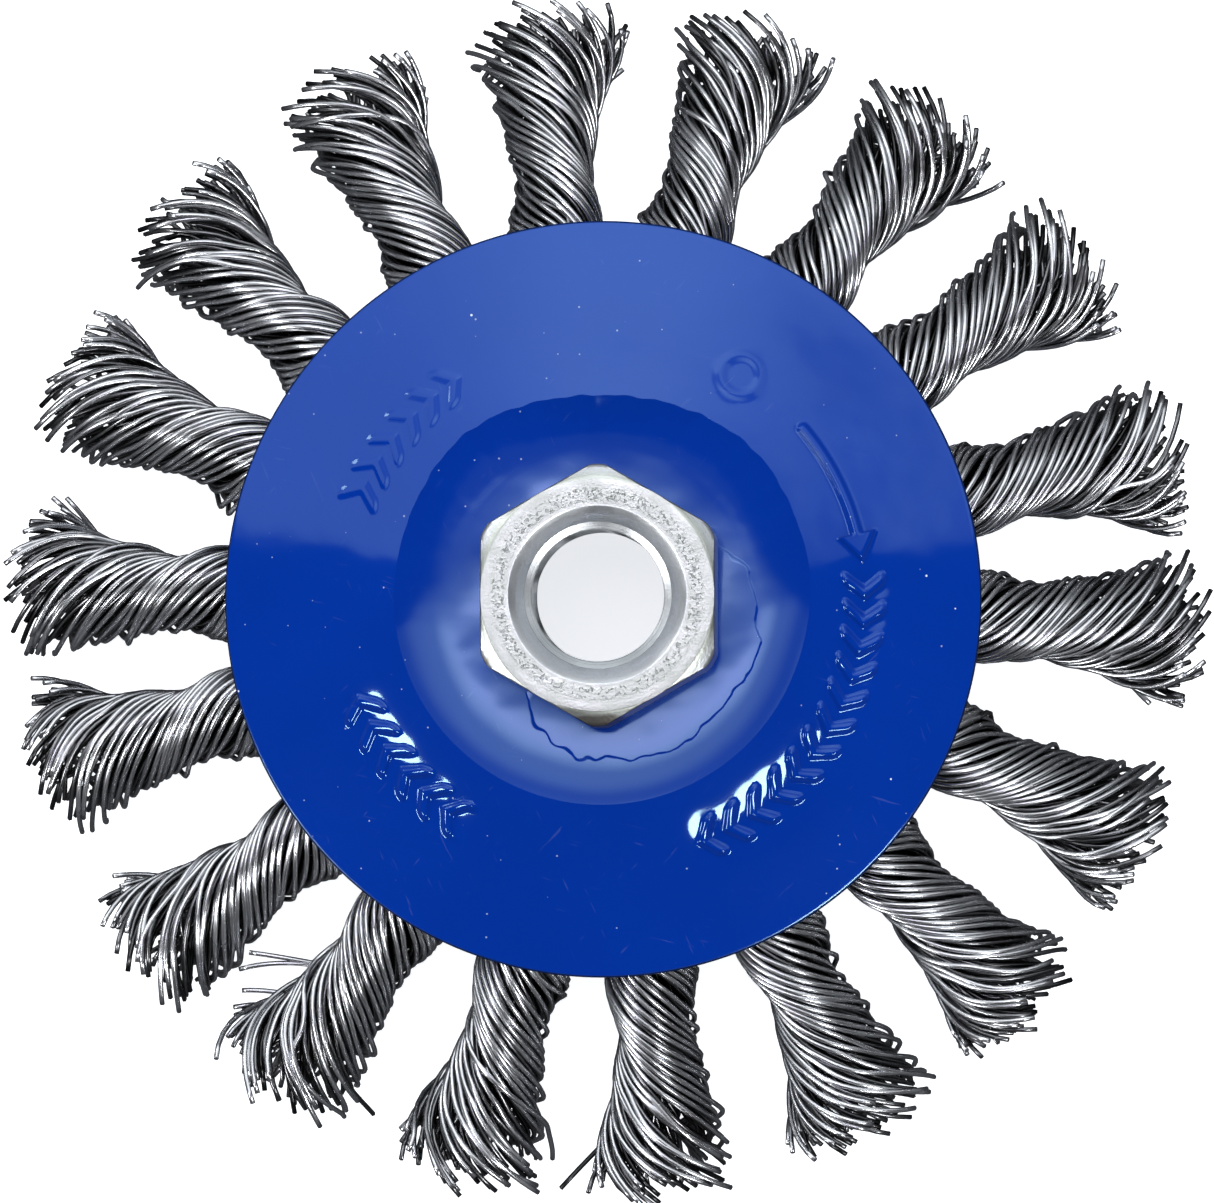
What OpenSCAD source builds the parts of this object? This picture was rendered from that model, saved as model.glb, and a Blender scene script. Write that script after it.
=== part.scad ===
// Knotted bevel wire brush for an angle grinder. Twisted wire knots hang through the holes of a
// carrier disc, between a pressed cover plate and a back plate, and a threaded hex nut is staked
// through all three. Lengths are in millimetres. The spindle axis is Z, and the wire tips are at z = 0.

/* [Brush] */
// Diameter across the wire tips
brush_d = 115; // [104:1:130]
// Number of knots
knot_count = 18; // [12:1:20]
// Angle by which the knots lean down from level
knot_tilt = 25; // [18:1:32]
// Direction of the first knot, anticlockwise from X
first_knot_angle = 77.5; // [0:0.5:180]

/* [Knots] */
// Width of a knot's section along both plies, where it is fully open
knot_long = 9; // [7:0.1:9.6]
// Width of a knot's section across the plies
knot_short = 6.9; // [5:0.1:7.2]
// Length of the section at the carrier disc, where the plates press on it
root_long = 7.4; // [5.5:0.1:7.6]
// Length over which the section opens from the carrier disc to its full size
open_length = 7.3; // [5:0.1:10]
// Diameter of the round section where the twist ends and the wires come loose
loose_d = 9.2; // [8:0.1:10]
// Length of wire over which the knot turns once
lay_length = 23.5; // [18:0.5:40]
// Distance past the carrier disc where one ply lies straight above the other
lay_start = 1.5; // [0:0.1:4]
// Length along the knot of its outermost free wire ends, past the twist
free_length = 7.5; // [4:0.5:9]
// Smallest gap between the flared tips of two knots
tip_gap = 1; // [0.5:0.1:4]
// Distance that the wires in the middle of the tip stand past the outermost ones
crown = 2.5; // [0.5:0.1:4]
// Grooves between the strands round a knot
strand_count = 10; // [8:1:12]
// Depth of the grooves, as a share of the knot's radius
strand_groove = 0.1; // [0.02:0.01:0.15]
// Depth of the grooves at the tip, where the strands part, as a share of its radius
tip_groove = 0.24; // [0.1:0.01:0.3]
// Share of the twist that the loose wires of the tip keep
tip_twist = 0.8; // [0.4:0.05:1]
// Thickness of one leg of the folded wires at the carrier disc
leg_t = 2.4; // [1.5:0.1:2.6]
// Width of the folded wires in their hole
leg_w = 3.4; // [2:0.1:4]

/* [Carrier disc] */
// Thickness of the carrier disc
carrier_t = 1.5; // [1:0.1:2.5]
// Distance from the edge of the disc's flat centre out to the middles of the knot holes
flat_to_hole = 9; // [7:0.1:11]
// Diameter of a knot hole
knot_hole_d = 5.5; // [4.8:0.1:6]
// Distance from the middle of a knot hole to the disc's edge
hole_to_edge = 4.4; // [3.6:0.1:6]
// Diameter of the flat centre
carrier_flat_d = 32; // [28:0.5:36]

/* [Cover plate] */
// Diameter of the cover plate
cover_d = 71.5; // [66:0.5:80]
// Thickness of the cover plate
cover_t = 1.2; // [0.8:0.1:2]
// Diameter of the sunk flat centre, at the foot of its wall
recess_d = 32.6; // [28:0.2:36]
// Width of the wall that rises from the flat centre to the crest of the cone
wall_w = 3.2; // [2:0.1:5]
// Depth of the flat centre below the crest
recess_depth = 0.8; // [0.3:0.1:2]
// Width of the turned-down edge
lip_w = 1; // [0.5:0.1:2]
// Extra drop of the turned-down edge
lip_drop = 0.3; // [0:0.05:0.4]

/* [Back plate] */
// Diameter of the back plate
back_d = 62; // [58:0.5:70]
// Thickness of the back plate
back_t = 1.2; // [0.8:0.1:2]
// Distance from the edge of the carrier's flat centre in to the plate's wall
back_wall_inset = 1.5; // [1:0.1:3]
// Distance out from the flat centre to the foot of the plate's wall
back_wall = 3.5; // [2.5:0.1:5]

/* [Hex nut] */
// Nominal diameter of the spindle thread
thread_d = 14; // [10:1:16]
// Pitch of the spindle thread
thread_pitch = 2; // [1:0.25:2]
// Width across the flats
nut_flats = 22; // [20:0.5:24]
// Height of the hexagon above the cover plate
nut_h = 10.5; // [8:0.5:14]
// Slope of the chamfer at the hexagon's corners
nut_chamfer_slope = 30; // [15:1:35]
// Step from the flats in to the round top face that the chamfer leaves
nut_face_step = 0.55; // [0.3:0.05:1]
// Diameter of the countersunk mouth
mouth_d = 16.6; // [16.2:0.1:18.5]
// Diameter of the spigot through the plates
spigot_d = 18; // [17.4:0.1:20]
// Distance that the staked lip stands out past the spigot, under the back plate
stake_w = 1.5; // [1:0.1:2.5]
// Height of the staked lip
stake_h = 1.4; // [1:0.1:2.5]

/* [Fits] */
// Gap all round between the spigot and the plates' holes
spigot_gap = 0.1; // [0.05:0.01:0.2]
// Gap between a knot and the carrier disc
knot_gap = 0.2; // [0.15:0.01:0.4]
// Gap between a knot at its widest and the plates
plate_gap = 0.2; // [0.1:0.05:0.5]

/* [Hidden] */
$fn = 96;
function knot_name(n) = str("knot_", n < 10 ? "0" : "", n);

// Each knot's sideways lean in degrees, clockwise from above, where it is fully open and at its tip
open_lean = [-0.2, 0.1, 0, 0.8, -0.1, 0.4, 0.3, 0, 0.5, 0.3, 0.3, -1.1, 0.6, -1.6, -1.3, -1.9, -0.2, 0];
tip_lean = [2.3, 2, 1.9, 2.4, 0.4, 1.6, 2.1, 1.2, 2.2, 1.6, 2.4, 0.6, 2, -0.3, 0.3, -0.1, 0.8, 1.6];

// Stations along a knot's axis, counted out from the middle of its hole
hole_r = carrier_flat_d / 2 + flat_to_hole;
twist_from = hole_to_edge + knot_gap;
open_station = twist_from + open_length;
turn_per_mm = 360 / lay_length;

// The tips flare until the two nearest neighbours, which lean towards each other, leave the tip gap
tightest_lean = max([for (i = [0 : knot_count - 1])
    tip_lean[i % len(tip_lean)] - tip_lean[(i + 1) % knot_count % len(tip_lean)]]);
half_spacing = sin((360 / knot_count - tightest_lean) / 2);
tip_r = (half_spacing * brush_d / 2 - tip_gap / 2) / (1 + half_spacing * sin(knot_tilt));
flare_per_mm = (tip_r / (loose_d / 2) - 1) / free_length;

// The crown's ring: its radius as a share of the tip's, and how far it lies back from the middle
crown_share = 0.6;
crown_back = 0.3 * crown;
tip_reach = max(
    tip_r * sin(knot_tilt) - crown * cos(knot_tilt),
    crown_share * tip_r * sin(knot_tilt) - crown_back * cos(knot_tilt)
);
knot_length = (brush_d / 2 - hole_r - tip_reach) / cos(knot_tilt);
outer_end = knot_length - crown;
free_from = outer_end - free_length;

// Rings of points that make a knot's skin
twist_rings = 11;
free_rings = 4;
ring_points = 2 * strand_count;
stations = concat(
    [for (i = [0 : twist_rings - 1]) twist_from + (free_from - twist_from) * i / (twist_rings - 1)],
    [for (i = [1 : free_rings]) free_from + free_length * i / free_rings],
    [knot_length - crown_back]
);

// A point of the knot's section as [sideways, away from the disc], turned by the twist up to a station
function section_point(station, i, groove_depth) =
    let (
        grown = min(1, (station - twist_from) / open_length),
        loose = pow(max(0, (station - open_station) / (free_from - open_station)), 3),
        long = root_long + (knot_long - root_long) * grown + (loose_d - knot_long) * loose,
        short = knot_short + (loose_d - knot_short) * loose,
        groove = i % 2 == 0 ? 1 : 1 - groove_depth,
        around = 360 * i / ring_points,
        x = long / 2 * groove * cos(around),
        y = short / 2 * groove * sin(around),
        turn = 90 + turn_per_mm * (station - hole_to_edge - lay_start)
    )
    [x * cos(turn) - y * sin(turn), x * sin(turn) + y * cos(turn)];

// Past the twist, the strands flare, part from each other and keep some of their turn. The outermost
// wires end first, and the ring past them is the crown that the middle ones make
function knot_point(station, i) =
    let (
        past = max(0, min(station, outer_end) - free_from),
        groove_depth = strand_groove + (tip_groove - strand_groove) * past / free_length,
        p = section_point(min(station, free_from), i, groove_depth),
        turn = tip_twist * turn_per_mm * past,
        share = (1 + flare_per_mm * past) * (station > outer_end ? crown_share : 1)
    )
    share * [p.x * cos(turn) - p.y * sin(turn), p.x * sin(turn) + p.y * cos(turn)];

// The lowest wire end lies at z = 0
tip_low = min([for (i = [0 : ring_points - 1]) knot_point(outer_end, i).y]);
hole_z = outer_end * sin(knot_tilt) - tip_low * cos(knot_tilt);

// Heights of the stacked plates, which lie flat on each other round the spigot
carrier_flat_z = hole_z + flat_to_hole * tan(knot_tilt);
carrier_top = carrier_flat_z + carrier_t / 2;
carrier_bottom = carrier_flat_z - carrier_t / 2;
cover_top = carrier_top + cover_t;
back_bottom = carrier_bottom - back_t;
spigot_hole_r = spigot_d / 2 + spigot_gap;
spigot_bottom = back_bottom - stake_h;
nut_top = cover_top + nut_h;
bore_d = thread_d - thread_pitch;

// Height of a line at a distance above the knots' axes, at a radius
function knot_line_z(r, above) = hole_z - (r - hole_r) * tan(knot_tilt) + above / cos(knot_tilt);
cover_edge_z = knot_line_z(cover_d / 2, knot_long / 2 + plate_gap + cover_t) + lip_drop;
under_knots = -(knot_long / 2 + plate_gap);

function unit(v) = v / norm(v);
function left(v) = [-v.y, v.x];

// A line of points moved sideways by a distance, with mitred bends
function moved_line(line, distance) =
    let (last = len(line) - 1)
    [for (i = [0 : last])
        let (
            before = unit(line[max(i, 1)] - line[max(i, 1) - 1]),
            after = unit(line[min(i, last - 1) + 1] - line[min(i, last - 1)]),
            mitre = left(before) + left(after)
        )
        line[i] + mitre * distance * 2 / (mitre * mitre)];

function reversed(line) = [for (i = [len(line) - 1 : -1 : 0]) line[i]];

// A pressed plate, from the line of its upper face, running out from the centre hole
module pressed_plate(upper, thickness) {
    rotate_extrude()
        polygon(concat(upper, reversed(moved_line(upper, -thickness))));
}

// The wall of the sunk centre rises in an S from its foot to the crest
wall_steps = 6;
crest_r = recess_d / 2 + wall_w;
cover_line = concat(
    [[spigot_hole_r, cover_top]],
    [for (i = [0 : wall_steps])
        [recess_d / 2 + wall_w * i / wall_steps,
         cover_top + recess_depth * (1 - cos(180 * i / wall_steps)) / 2]],
    [[cover_d / 2 - lip_w,
      cover_edge_z + (cover_top + recess_depth - cover_edge_z) * lip_w / (cover_d / 2 - crest_r)],
     [cover_d / 2, cover_edge_z - lip_drop]]
);

carrier_line = [
    [spigot_hole_r, carrier_top],
    [carrier_flat_d / 2 + carrier_t / 2 * tan(knot_tilt / 2), carrier_top],
    [hole_r + hole_to_edge * cos(knot_tilt) + carrier_t / 2 * sin(knot_tilt),
     hole_z - hole_to_edge * sin(knot_tilt) + carrier_t / 2 * cos(knot_tilt)]
];

back_flat_r = carrier_flat_d / 2 - back_wall_inset;
back_line = [
    [spigot_hole_r, carrier_bottom],
    [back_flat_r, carrier_bottom],
    [back_flat_r + back_wall, knot_line_z(back_flat_r + back_wall, under_knots)],
    [back_d / 2, knot_line_z(back_d / 2, under_knots)]
];

module cover_plate() {
    color("royalblue")
        pressed_plate(cover_line, cover_t);
}

module back_plate() {
    color("royalblue")
        pressed_plate(back_line, back_t);
}

// Puts its children at a knot's hole, with X out along the knot and Z away from the disc
module at_knot(i) {
    rotate([0, 0, first_knot_angle - 360 / knot_count * i])
        translate([hole_r, 0, hole_z])
            rotate([0, knot_tilt, 0])
                children();
}

module carrier_disc() {
    color("silver")
        difference() {
            pressed_plate(carrier_line, carrier_t);
            for (i = [0 : knot_count - 1])
                at_knot(i)
                    cylinder(h = 4 * carrier_t, d = knot_hole_d, center = true);
        }
}

// Turned nut: hexagon with chamfered corners, spigot, staked lip and threaded bore
module hex_nut() {
    corner_r = nut_flats / 2 / cos(30);
    face_r = nut_flats / 2 - nut_face_step;
    chamfer_drop = (corner_r - face_r) * tan(nut_chamfer_slope);
    color("gainsboro")
        difference() {
            union() {
                intersection() {
                    translate([0, 0, cover_top])
                        rotate([0, 0, 30])
                            cylinder(h = nut_h, r = corner_r, $fn = 6);
                    rotate_extrude()
                        polygon([
                            [0, cover_top],
                            [corner_r, cover_top],
                            [corner_r, nut_top - chamfer_drop],
                            [face_r, nut_top],
                            [0, nut_top]
                        ]);
                }
                translate([0, 0, spigot_bottom])
                    cylinder(h = cover_top + 1 - spigot_bottom, d = spigot_d);
                translate([0, 0, spigot_bottom])
                    cylinder(h = stake_h, d1 = spigot_d + stake_w, d2 = spigot_d + 2 * stake_w);
            }
            translate([0, 0, spigot_bottom - 1])
                cylinder(h = nut_top - spigot_bottom + 2, d = bore_d);
            rotate_extrude()
                polygon([
                    [0, nut_top + 1],
                    [mouth_d / 2 + 1, nut_top + 1],
                    [mouth_d / 2, nut_top],
                    [bore_d / 2, nut_top - (mouth_d - bore_d) / 2],
                    [0, nut_top - (mouth_d - bore_d) / 2]
                ]);
        }
}

// A knot's sideways lean at a station: none at its hole, its own where it is open and at the tip
function lean_at(station, at_open, at_tip) =
    station < open_station
        ? at_open * station / open_station
        : at_open + (at_tip - at_open) * (station - open_station) / (knot_length - open_station);

// A point beside a knot's axis, brought into the brush's own frame
function placed(station, p, angle) =
    let (r = hole_r + station * cos(knot_tilt) + p.y * sin(knot_tilt))
    [
        r * cos(angle) + p.x * sin(angle),
        r * sin(angle) - p.x * cos(angle),
        hole_z - station * sin(knot_tilt) + p.y * cos(knot_tilt)
    ];

// The twisted part of a knot and its flared tip, as one closed skin
module twisted_wires(angle, at_open, at_tip) {
    last = len(stations) - 1;
    skin = [for (s = stations) for (i = [0 : ring_points - 1])
        placed(s, knot_point(s, i), angle - lean_at(s, at_open, at_tip))];
    ends = [
        placed(stations[0], [0, 0], angle - lean_at(stations[0], at_open, at_tip)),
        placed(knot_length, [0, 0], angle - at_tip)
    ];
    root_end = len(skin);
    tip_end = root_end + 1;
    polyhedron(
        points = concat(skin, ends),
        faces = concat(
            [for (ring = [0 : last - 1]) for (i = [0 : ring_points - 1])
                let (a = ring * ring_points + i, b = ring * ring_points + (i + 1) % ring_points)
                each [[a, b + ring_points, a + ring_points], [a, b, b + ring_points]]],
            [for (i = [0 : ring_points - 1]) [root_end, (i + 1) % ring_points, i]],
            [for (i = [0 : ring_points - 1])
                [tip_end, last * ring_points + i, last * ring_points + (i + 1) % ring_points]]
        )
    );
}

// The folded middle of the bundle: two legs along the disc's faces and the bend in the hole
module folded_wires() {
    inner_r = carrier_t / 2 + knot_gap;
    outer_r = inner_r + leg_t;
    hole_reach = sqrt(pow(knot_hole_d / 2 - knot_gap, 2) - pow(leg_w / 2, 2));
    bend_x = outer_r - hole_reach;
    rotate([90, 0, 0])
        linear_extrude(leg_w, center = true)
            difference() {
                union() {
                    translate([bend_x, 0])
                        circle(outer_r);
                    translate([bend_x, -outer_r])
                        square([twist_from + 1 - bend_x, 2 * outer_r]);
                }
                translate([bend_x, 0])
                    circle(inner_r);
                translate([bend_x, -inner_r])
                    square([twist_from + 2 - bend_x, 2 * inner_r]);
            }
}

module knot(i) {
    at_open = open_lean[i % len(open_lean)];
    at_tip = tip_lean[i % len(tip_lean)];
    color("dimgray") {
        twisted_wires(first_knot_angle - 360 / knot_count * i, at_open, at_tip);
        at_knot(i)
            folded_wires();
    }
}

hex_nut();
cover_plate();
carrier_disc();
back_plate();
for (i = [0 : knot_count - 1]) {
    knot(i);
}
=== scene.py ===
import math

import bpy
import numpy as np
from mathutils import Matrix, Vector


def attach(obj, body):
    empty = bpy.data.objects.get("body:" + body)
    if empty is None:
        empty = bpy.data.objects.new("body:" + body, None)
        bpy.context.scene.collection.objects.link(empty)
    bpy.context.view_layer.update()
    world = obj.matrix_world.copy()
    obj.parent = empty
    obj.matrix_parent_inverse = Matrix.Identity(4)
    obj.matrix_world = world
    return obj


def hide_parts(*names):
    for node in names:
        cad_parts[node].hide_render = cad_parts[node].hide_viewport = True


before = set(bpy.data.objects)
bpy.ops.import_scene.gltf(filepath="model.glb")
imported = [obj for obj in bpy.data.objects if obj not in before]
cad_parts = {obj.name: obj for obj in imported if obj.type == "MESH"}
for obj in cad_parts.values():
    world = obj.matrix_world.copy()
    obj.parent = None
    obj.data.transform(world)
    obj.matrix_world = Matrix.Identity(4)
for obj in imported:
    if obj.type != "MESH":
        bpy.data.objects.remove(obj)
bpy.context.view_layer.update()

# A knotted bevel brush: eighteen twisted wire knots round a painted plate, on a threaded hex nut.
# Lengths are in millimetres, as in the part's source, and become metres where a mesh is made.
MM = 0.001

# Knots, as the part's source places them
KNOT_COUNT = 18
KNOT_TILT = math.radians(25)
FIRST_KNOT_ANGLE = 77.5
HOLE_R = 25.0
HOLE_Z = 20.3302
KNOT_LONG = 9.0
KNOT_SHORT = 6.9
ROOT_LONG = 7.4
OPEN_LENGTH = 7.3
LOOSE_D = 9.2
LAY_LENGTH = 23.5
LAY_START = 5.9
TWIST_FROM = 4.6
OPEN_STATION = TWIST_FROM + OPEN_LENGTH
KNOT_LENGTH = 34.4172
CROWN = 2.5
FREE_LENGTH = 7.5
FREE_FROM = KNOT_LENGTH - CROWN - FREE_LENGTH
FLARE = 0.10
OPEN_LEAN = [-0.2, 0.1, 0, 0.8, -0.1, 0.4, 0.3, 0, 0.5, 0.3, 0.3, -1.1, 0.6, -1.6, -1.3, -1.9, -0.2, 0]
TIP_LEAN = [2.3, 2, 1.9, 2.4, 0.4, 1.6, 2.1, 1.2, 2.2, 1.6, 2.4, 0.6, 2, -0.3, 0.3, -0.1, 0.8, 1.6]

# Wires of a knot, which are folded through the carrier disc in two legs
WIRE_R = 0.26
LEG_FROM = 4.4
LEG_BLEND = 3.2
LEG_BEND = 1.45
LEG_NEAR = 1.2
LEG_FAR = 3.1
LEG_HALF_W = 1.45
CUSP_ANGLE = 0.42
STRAND_PULL = 0.09
STRAND_LIFT = 0.05
FIRST_SEED = 4065
# Layers of folded wires: number, depth below the skin, stations, share of strays, sides and shade, a painted
# shade that darkens the deeper layers for the shadow between the wires
FOLDED = [(24, 0.0, 44, 0.05, 7, 1.0), (24, 0.48, 34, 0.03, 5, 0.29), (22, 0.95, 28, 0.0, 5, 0.09)]
# Wires in the middle of a knot: number, stations, where they start along the knot, sides and shade, a
# painted shade that darkens them for the shadow inside the knot
INNER = [(36, 14, FREE_FROM - 4, 5, 0.38), (14, 26, LEG_FROM + 3, 4, 0.14)]
# Wires that stand far out of the side of one knot, knot_11, with three points for each
STRAY_KNOT = 10
STRAY_SIDES = 6
STRAY_SHADE = 0.8
STRAYS = np.array([
    [(-26.8, -34.5, 11.2), (-31.0, -33.7, 11.9), (-34.0, -33.3, 11.6)],
    [(-27.2, -34.6, 11.0), (-31.5, -33.9, 11.6), (-35.0, -34.9, 11.0)],
    [(-30.6, -37.2, 9.4), (-33.0, -36.8, 9.7), (-34.8, -36.9, 9.5)],
])

# Plates
HOLE_IN_PLATES = 9.1
COVER_TOP = 26.477
RECESS_R = 16.3
CREST_R = 19.5
CREST_Z = 27.277
CONE_END = (34.75, 22.444)
COVER_EDGE = (35.75, 21.827)
EDGE_ROUND = 0.14
PLATE_T = 1.2
BACK_TOP = 23.777
BACK_LINE = [(14.5, 23.777), (18.0, 18.409), (31.0, 12.347)]

# Nut
NUT_SEAT = 26.477
NUT_TOP = 36.977
NUT_HALF_FLATS = 11.0
NUT_CORNER_R = 12.3
FACE_R = 10.95
CHAMFER = math.radians(30)
MOUTH_R = 8.3
SPIGOT_R = 9.0
SPIGOT_BOTTOM = 21.177
STAKE_R = 10.3
BACK_BOTTOM = 22.577
THREAD_CORE_R = 6.2
THREAD_R = 7.0
THREAD_PITCH = 2.0
FIRST_TURN = [(6.2, 2.3), (6.2, 2.05), (6.28, 1.98), (6.5, 1.9), (6.52, 1.82), (6.9, 1.65), (6.93, 1.4),
              (7.0, 1.3), (7.6, 0.7), (8.24, 0.06)]


def smooth(x):
    """Soft step from 0 to 1 as x goes from 0 to 1."""
    x = np.clip(x, 0, 1)
    return x * x * (3 - 2 * x)


def unit(vectors):
    """Vectors of length one."""
    return vectors / np.linalg.norm(vectors, axis=-1, keepdims=True)


# Meshes

def new_piece(name, points, faces, finish, node):
    """A mesh piece that stands for a CAD node, in metres, smooth apart from its sharp edges."""
    mesh = bpy.data.meshes.new(name)
    mesh.from_pydata((points * MM).tolist(), [], faces)
    mesh.shade_smooth()
    piece = bpy.data.objects.new(name, mesh)
    bpy.context.scene.collection.objects.link(piece)
    mesh.materials.append(finish)
    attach(piece, "root")
    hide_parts(node)
    return piece


def ring_skin(rings):
    """Points and faces of a closed skin over closed rings (rings, points, 3), the last one joined to
    the first, with its faces outwards."""
    count, steps = rings.shape[:2]
    index = np.arange(count * steps).reshape(count, steps)
    after = np.roll(index, -1, axis=1)
    quads = np.stack([index, after, np.roll(after, -1, axis=0), np.roll(index, -1, axis=0)], axis=-1)
    quads = quads.reshape(-1, 4)
    points = rings.reshape(-1, 3)
    a, b, c, d = (points[quads[:, k]] for k in range(4))
    if np.sum(np.cross(c - a, d - b) * (a + b + c + d)) < 0:
        quads = quads[:, ::-1]
    return points, quads.tolist()


def turned_rings(line, angles, raised=None):
    """Rings of a turned plate: line is its closed (r, z) outline, raised(r, angle) what is added to z
    on the points flagged in the outline's third column."""
    line = np.asarray(line)
    r = np.repeat(line[:, :1], len(angles), axis=1)
    z = np.repeat(line[:, 1:2], len(angles), axis=1)
    angle = np.repeat(angles[None, :], len(line), axis=0)
    if raised is not None:
        z = z + line[:, 2:3] * raised(r, angle)
    return np.stack([r * np.cos(angle), r * np.sin(angle), z], axis=-1)


def round_wires(paths, radius, sides):
    """Points and faces of closed round wires along paths (wires, stations, 3)."""
    wires, stations = paths.shape[:2]
    along = unit(np.gradient(paths, axis=1))
    across = np.empty_like(along)
    across[:, 0] = unit(np.cross(along[:, 0], [0.31, 0.52, 0.79]))
    for k in range(1, stations):
        carried = across[:, k - 1]
        across[:, k] = unit(carried - along[:, k] * np.sum(carried * along[:, k], axis=-1, keepdims=True))
    beside = np.cross(along, across)
    turn = np.arange(sides) * 2 * math.pi / sides
    rim = across[:, :, None] * np.cos(turn)[:, None] + beside[:, :, None] * np.sin(turn)[:, None]
    points = paths[:, :, None] + radius * rim
    index = np.arange(wires * stations * sides).reshape(wires, stations, sides)
    after = np.roll(index, -1, axis=2)
    quads = np.stack([index[:, :-1], after[:, :-1], after[:, 1:], index[:, 1:]], axis=-1)
    faces = quads.reshape(-1, 4).tolist()
    faces += index[:, 0, ::-1].tolist()
    faces += index[:, -1].tolist()
    return points.reshape(-1, 3), faces


# Knots

def section_at(s):
    """Long and short diameter, and turn, of a knot at stations s along it."""
    grown = np.clip((s - TWIST_FROM) / OPEN_LENGTH, 0, 1)
    loose = np.clip((s - OPEN_STATION) / (FREE_FROM - OPEN_STATION), 0, None) ** 3
    long_d = ROOT_LONG + (KNOT_LONG - ROOT_LONG) * grown + (LOOSE_D - KNOT_LONG) * loose
    short_d = KNOT_SHORT + (LOOSE_D - KNOT_SHORT) * loose
    turn = math.pi / 2 + 2 * math.pi * (s - LAY_START) / LAY_LENGTH
    return long_d, short_d, turn


def placed(s, u, v, knot):
    """Points at stations s, u sideways and v away from the disc, in the brush's frame."""
    to_open = np.clip(s / OPEN_STATION, 0, 1)
    to_tip = np.clip((s - OPEN_STATION) / (KNOT_LENGTH - OPEN_STATION), 0, None)
    lean = OPEN_LEAN[knot] * to_open + (TIP_LEAN[knot] - OPEN_LEAN[knot]) * to_tip
    angle = np.radians(FIRST_KNOT_ANGLE - 360 / KNOT_COUNT * knot - lean)
    reach = HOLE_R + s * math.cos(KNOT_TILT) + v * math.sin(KNOT_TILT)
    x = reach * np.cos(angle) + u * np.sin(angle)
    y = reach * np.sin(angle) - u * np.cos(angle)
    z = HOLE_Z - s * math.sin(KNOT_TILT) + v * math.cos(KNOT_TILT)
    return np.stack([x, y, np.maximum(z, WIRE_R + 0.03)], axis=-1)


def strands(draw, count):
    """How far each wire is drawn to the middle of its strand, in wire spacings, and its strand's lift."""
    pull = np.zeros(count)
    lift = np.zeros(count)
    first = 0
    while first < count:
        strand = np.arange(first, min(first + draw.integers(3, 8), count))
        pull[strand] = (strand.mean() - strand) * STRAND_PULL
        lift[strand] = draw.normal(0, STRAND_LIFT)
        first = strand[-1] + 1
    return pull, lift


def wander(draw, s, amount, length):
    """A slow wave along each wire, of about that amount, one wave in about that length."""
    count = len(s)
    wave = np.zeros_like(s)
    for part in (1.0, 0.45):
        start = draw.uniform(0, 2 * math.pi, (count, 1))
        size = draw.normal(0, amount, (count, 1)) * part
        wave += size * np.sin(2 * math.pi * s / (length * part * draw.uniform(0.8, 1.3, (count, 1))) + start)
    return wave


def twisted(draw, s, phase, depth, shift, lift, cusp=0.0):
    """Sideways and outward places of wires in the twisted knot and its free tip. phase is their turn
    round the section, depth the distance from its skin, shift and lift move them along it, and cusp is
    how far they stand off where they go round the left edge."""
    free_from = FREE_FROM + draw.uniform(-1.9, 1.0, (len(s), 1))
    bound = np.minimum(s, free_from)
    long_d, short_d, turn = section_at(bound)
    out = lift - depth
    x = (long_d / 2 + out) * np.cos(phase + shift)
    y = (short_d / 2 + out) * np.sin(phase + shift)
    u = x * np.cos(turn) - y * np.sin(turn)
    v = x * np.sin(turn) + y * np.cos(turn)
    from_left = np.abs(np.arctan2(v, -u))
    stand_off = 1 + cusp * np.exp(-(from_left / CUSP_ANGLE) ** 2) / np.hypot(u, v)
    u, v = u * stand_off, v * stand_off
    past = s - bound
    flare = FLARE * np.clip(draw.normal(0.97, 0.12, (len(s), 1)), 0.6, 1.25)
    grown = 1 + flare * past ** 2 / (past + 0.7)
    lay_kept = np.clip(draw.normal(0.82, 0.08, (len(s), 1)), 0.55, 1.0)
    turned = 2 * math.pi / LAY_LENGTH * lay_kept * past
    return (grown * (u * np.cos(turned) - v * np.sin(turned)),
            grown * (u * np.sin(turned) + v * np.cos(turned)))


def bent_tips(draw, s, end, u, v):
    """Wires whose last stretch bends aside, a few of them far."""
    count = len(s)
    stretch = draw.uniform(2.5, 6.0, (count, 1))
    bend = np.clip((s - end + stretch) / stretch, 0, 1) ** 2
    size = draw.normal(0, 0.35, (count, 1))
    size += (draw.random((count, 1)) < 0.06) * draw.normal(0, 1.4, (count, 1))
    way = draw.uniform(0, 2 * math.pi, (count, 1))
    return u + bend * size * np.cos(way), v + bend * size * np.sin(way)


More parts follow.
